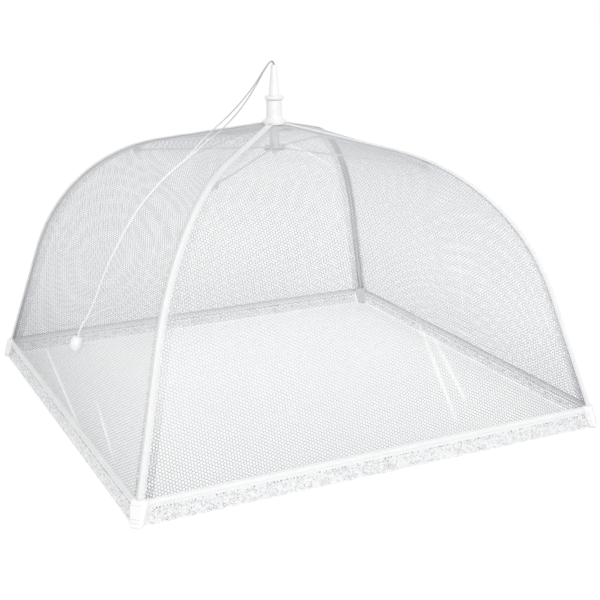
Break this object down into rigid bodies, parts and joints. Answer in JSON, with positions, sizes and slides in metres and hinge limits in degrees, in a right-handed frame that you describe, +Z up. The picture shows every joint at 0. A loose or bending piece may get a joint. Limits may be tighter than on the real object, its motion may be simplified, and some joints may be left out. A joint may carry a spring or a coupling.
{
  "type": "mesh food cover",
  "caption": "Square pop-up food cover that folds like an umbrella: wire ribs and struts under netting, with a lace hem, a plastic crown and a pull cord with a bead.",
  "frame": {"origin": "under the crown's axis, on the surface that the corner pockets stand on", "axes": "+Z up along the crown's axis; +X and +Y square to two sides; the pull cord lies over the -X side"},
  "size_m": [0.45, 0.45, 0.3236],
  "materials": {
    "white_plastic": "moulded white, slightly translucent",
    "clip_plastic": "moulded off-white",
    "spring_steel": "drawn spring wire, grey",
    "rivet_steel": "plated wire and rivets",
    "white_netting": "white hexagonal tulle, see-through",
    "white_binding": "white woven binding tape",
    "white_lace": "white floral lace trim",
    "cord_yarn": "white twisted cord",
    "bead_plastic": "moulded frosted white"
  },
  "bodies": {
    "crown": {"crown": "white_plastic", "cap": "white_plastic", "crown_ring": "rivet_steel", "hub_cord_back": "cord_yarn", "hub_cord_front": "cord_yarn"},
    "rib_front_left": {"rib_front_left": "spring_steel", "clip_front_left": "clip_plastic", "rivet_front_left": "rivet_steel", "seam_tape_front_left": "white_binding", "corner_pocket_front_left": "white_binding"},
    "rib_front_right": {"rib_front_right": "spring_steel", "clip_front_right": "clip_plastic", "rivet_front_right": "rivet_steel", "seam_tape_front_right": "white_binding", "corner_pocket_front_right": "white_binding"},
    "rib_back_right": {"rib_back_right": "spring_steel", "clip_back_right": "clip_plastic", "rivet_back_right": "rivet_steel", "seam_tape_back_right": "white_binding", "corner_pocket_back_right": "white_binding"},
    "rib_back_left": {"rib_back_left": "spring_steel", "clip_back_left": "clip_plastic", "rivet_back_left": "rivet_steel", "seam_tape_back_left": "white_binding", "corner_pocket_back_left": "white_binding"},
    "strut_front_left": {"strut_front_left": "spring_steel"},
    "strut_front_right": {"strut_front_right": "spring_steel"},
    "strut_back_right": {"strut_back_right": "spring_steel"},
    "strut_back_left": {"strut_back_left": "spring_steel"},
    "runner": {"runner": "white_plastic", "runner_ring_front": "rivet_steel", "runner_ring_right": "rivet_steel", "runner_ring_back": "rivet_steel", "runner_ring_left": "rivet_steel", "cord_knot": "cord_yarn"},
    "net_front": {"net_panel_front": "white_netting"},
    "net_right": {"net_panel_right": "white_netting"},
    "net_back": {"net_panel_back": "white_netting"},
    "net_left": {"net_panel_left": "white_netting"},
    "hem_front": {"base_tape_front": "white_binding", "lace_front": "white_lace"},
    "hem_right": {"base_tape_right": "white_binding", "lace_right": "white_lace"},
    "hem_back": {"base_tape_back": "white_binding", "lace_back": "white_lace"},
    "hem_left": {"base_tape_left": "white_binding", "lace_left": "white_lace"},
    "pull_cord": {"pull_cord_back": "cord_yarn", "pull_cord_front": "cord_yarn", "bead": "bead_plastic"}
  },
  "joints": [
    {"name": "rib_front_left_fold", "type": "hinge", "parent": "crown", "child": "rib_front_left", "pos_m": [-0.00672, -0.00672, 0.264], "axis": [0.7071, -0.7071, 0], "range_deg": [0, 44]},
    {"name": "rib_front_right_fold", "type": "hinge", "parent": "crown", "child": "rib_front_right", "pos_m": [0.00672, -0.00672, 0.264], "axis": [0.7071, 0.7071, 0], "range_deg": [0, 44]},
    {"name": "rib_back_right_fold", "type": "hinge", "parent": "crown", "child": "rib_back_right", "pos_m": [0.00672, 0.00672, 0.264], "axis": [-0.7071, 0.7071, 0], "range_deg": [0, 44]},
    {"name": "rib_back_left_fold", "type": "hinge", "parent": "crown", "child": "rib_back_left", "pos_m": [-0.00672, 0.00672, 0.264], "axis": [-0.7071, -0.7071, 0], "range_deg": [0, 44]},
    {"name": "strut_front_left_swing", "type": "hinge", "parent": "rib_front_left", "child": "strut_front_left", "pos_m": [-0.10235, -0.10235, 0.23314], "axis": [-0.7071, 0.7071, 0], "range_deg": [0, 110]},
    {"name": "strut_front_right_swing", "type": "hinge", "parent": "rib_front_right", "child": "strut_front_right", "pos_m": [0.10235, -0.10235, 0.23314], "axis": [-0.7071, -0.7071, 0], "range_deg": [0, 110]},
    {"name": "strut_back_right_swing", "type": "hinge", "parent": "rib_back_right", "child": "strut_back_right", "pos_m": [0.10235, 0.10235, 0.23314], "axis": [0.7071, -0.7071, 0], "range_deg": [0, 110]},
    {"name": "strut_back_left_swing", "type": "hinge", "parent": "rib_back_left", "child": "strut_back_left", "pos_m": [-0.10235, 0.10235, 0.23314], "axis": [0.7071, 0.7071, 0], "range_deg": [0, 110]},
    {"name": "runner_slide", "type": "slide", "parent": "crown", "child": "runner", "axis": [0, 0, -1], "range_m": [0, 0.215], "deforming": ["hub_cord_back", "hub_cord_front"]},
    {"name": "net_front_fold", "type": "hinge", "parent": "rib_front_left", "child": "net_front", "pos_m": [-0.00672, -0.00672, 0.264], "axis": [0.1295, 0.943, -0.3064], "range_deg": [0, 30.99], "deforming": ["net_panel_front"]},
    {"name": "hem_front_fold", "type": "hinge", "parent": "rib_front_right", "child": "hem_front", "pos_m": [0.00672, -0.00672, 0.264], "axis": [0.1295, -0.943, 0.3064], "range_deg": [0, 30.99], "deforming": ["base_tape_front", "lace_front"]},
    {"name": "net_right_fold", "type": "hinge", "parent": "rib_front_right", "child": "net_right", "pos_m": [0.00672, -0.00672, 0.264], "axis": [-0.943, 0.1295, -0.3064], "range_deg": [0, 30.99], "deforming": ["net_panel_right"]},
    {"name": "hem_right_fold", "type": "hinge", "parent": "rib_back_right", "child": "hem_right", "pos_m": [0.00672, 0.00672, 0.264], "axis": [0.943, 0.1295, 0.3064], "range_deg": [0, 30.99], "deforming": ["base_tape_right", "lace_right"]},
    {"name": "net_back_fold", "type": "hinge", "parent": "rib_back_right", "child": "net_back", "pos_m": [0.00672, 0.00672, 0.264], "axis": [-0.1295, -0.943, -0.3064], "range_deg": [0, 30.99], "deforming": ["net_panel_back"]},
    {"name": "hem_back_fold", "type": "hinge", "parent": "rib_back_left", "child": "hem_back", "pos_m": [-0.00672, 0.00672, 0.264], "axis": [-0.1295, 0.943, 0.3064], "range_deg": [0, 30.99], "deforming": ["base_tape_back", "lace_back"]},
    {"name": "net_left_fold", "type": "hinge", "parent": "rib_back_left", "child": "net_left", "pos_m": [-0.00672, 0.00672, 0.264], "axis": [0.943, -0.1295, -0.3064], "range_deg": [0, 30.99], "deforming": ["net_panel_left"]},
    {"name": "hem_left_fold", "type": "hinge", "parent": "rib_front_left", "child": "hem_left", "pos_m": [-0.00672, -0.00672, 0.264], "axis": [-0.943, -0.1295, 0.3064], "range_deg": [0, 30.99], "deforming": ["base_tape_left", "lace_left"]},
    {"name": "pull_cord_swing", "type": "hinge", "parent": "crown", "child": "pull_cord", "pos_m": [0, 0, 0.3196], "axis": [0, -1, 0], "range_deg": [0, 22]}
  ],
  "couplings": [
    {"joint": "rib_front_right_fold", "follows": "rib_front_left_fold", "ratio": 1},
    {"joint": "rib_back_right_fold", "follows": "rib_front_left_fold", "ratio": 1},
    {"joint": "rib_back_left_fold", "follows": "rib_front_left_fold", "ratio": 1},
    {"joint": "strut_front_left_swing", "follows": "rib_front_left_fold", "ratio": 2.5},
    {"joint": "strut_front_right_swing", "follows": "rib_front_left_fold", "ratio": 2.5},
    {"joint": "strut_back_right_swing", "follows": "rib_front_left_fold", "ratio": 2.5},
    {"joint": "strut_back_left_swing", "follows": "rib_front_left_fold", "ratio": 2.5},
    {"joint": "runner_slide", "follows": "rib_front_left_fold", "m_per_rad": 0.2798},
    {"joint": "net_front_fold", "follows": "rib_front_left_fold", "ratio": 0.70427},
    {"joint": "hem_front_fold", "follows": "rib_front_left_fold", "ratio": 0.70427},
    {"joint": "net_right_fold", "follows": "rib_front_left_fold", "ratio": 0.70427},
    {"joint": "hem_right_fold", "follows": "rib_front_left_fold", "ratio": 0.70427},
    {"joint": "net_back_fold", "follows": "rib_front_left_fold", "ratio": 0.70427},
    {"joint": "hem_back_fold", "follows": "rib_front_left_fold", "ratio": 0.70427},
    {"joint": "net_left_fold", "follows": "rib_front_left_fold", "ratio": 0.70427},
    {"joint": "hem_left_fold", "follows": "rib_front_left_fold", "ratio": 0.70427},
    {"joint": "pull_cord_swing", "follows": "rib_front_left_fold", "ratio": 0.5}
  ]
}
